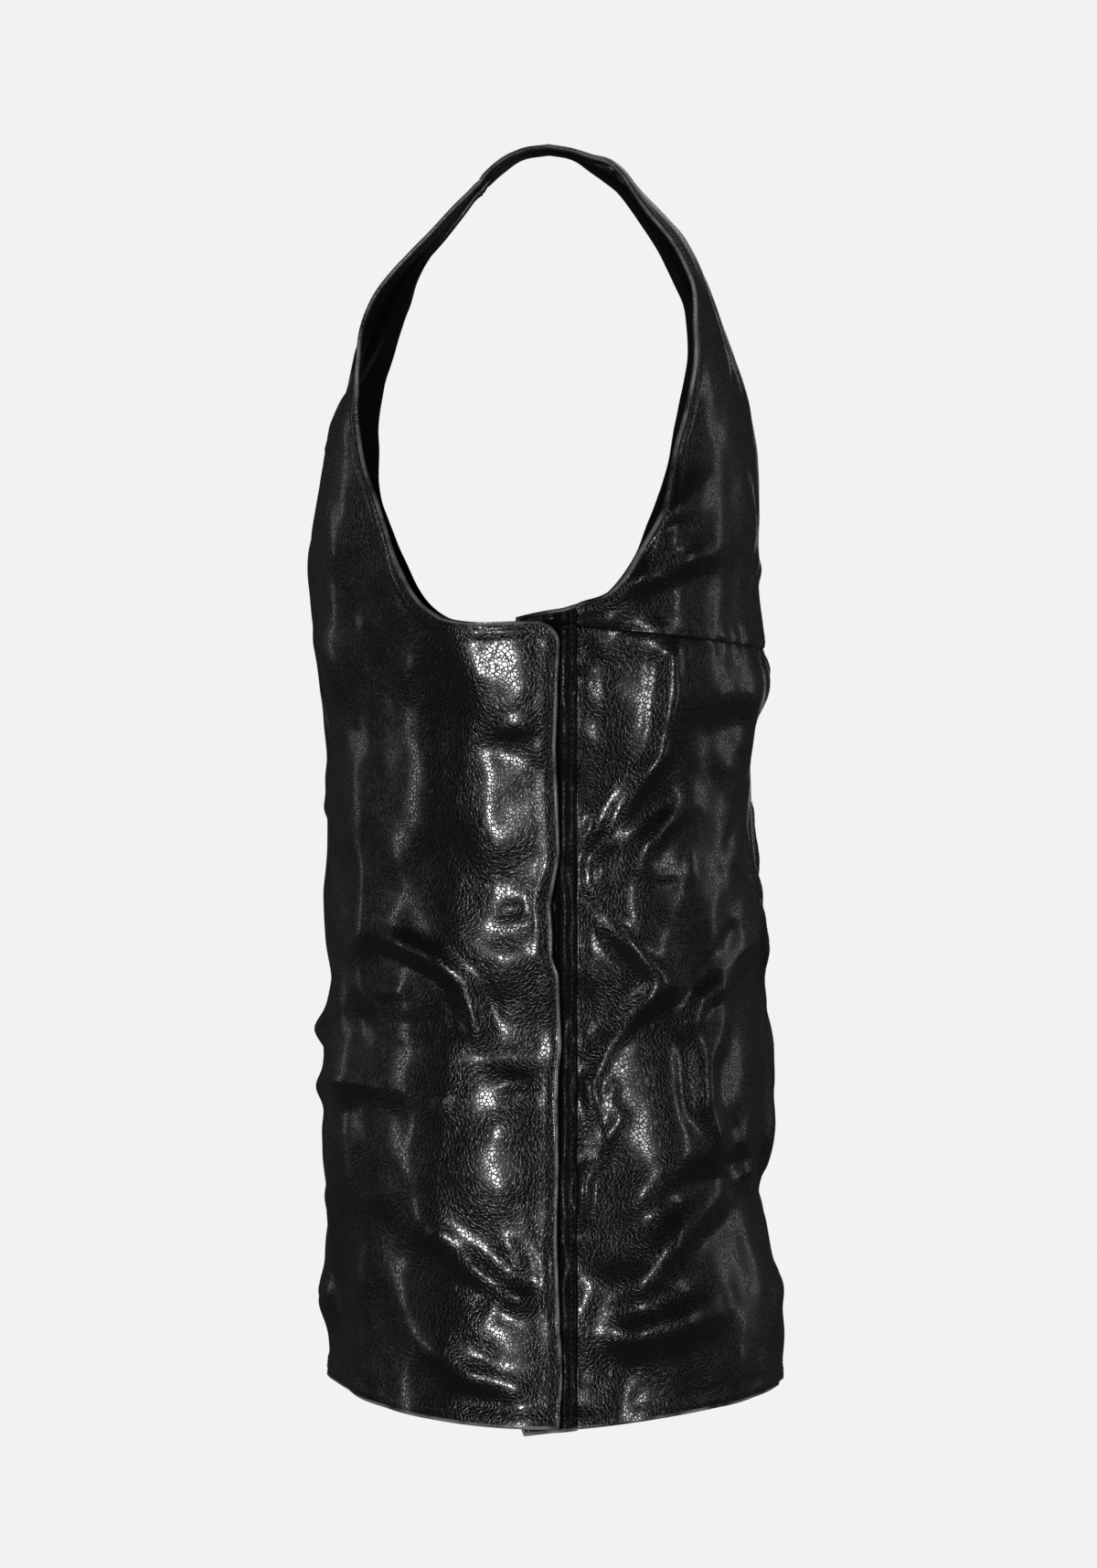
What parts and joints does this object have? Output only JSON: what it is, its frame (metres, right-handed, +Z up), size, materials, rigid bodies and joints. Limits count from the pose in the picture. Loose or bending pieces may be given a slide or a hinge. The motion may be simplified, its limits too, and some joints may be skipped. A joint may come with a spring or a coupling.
{
  "type": "leather vest",
  "caption": "Sleeveless leather vest in its worn form, with a scooped neck, deep armholes, a back yoke, and a front that laps over a button stand at the wearer's left side.",
  "frame": {"origin": "midway between the shoulders, at the height where the straps rest on the wearer", "axes": "+X to the wearer's left, -Y to the front, +Z up"},
  "size_m": [0.3836, 0.2498, 0.6696],
  "materials": {
    "leather": "glossy pebble grain",
    "thread": "waxed thread"
  },
  "bodies": {
    "root": {"front_panel": "leather", "back_yoke": "leather", "back_panel": "leather", "button_stand": "leather"}
  },
  "joints": []
}
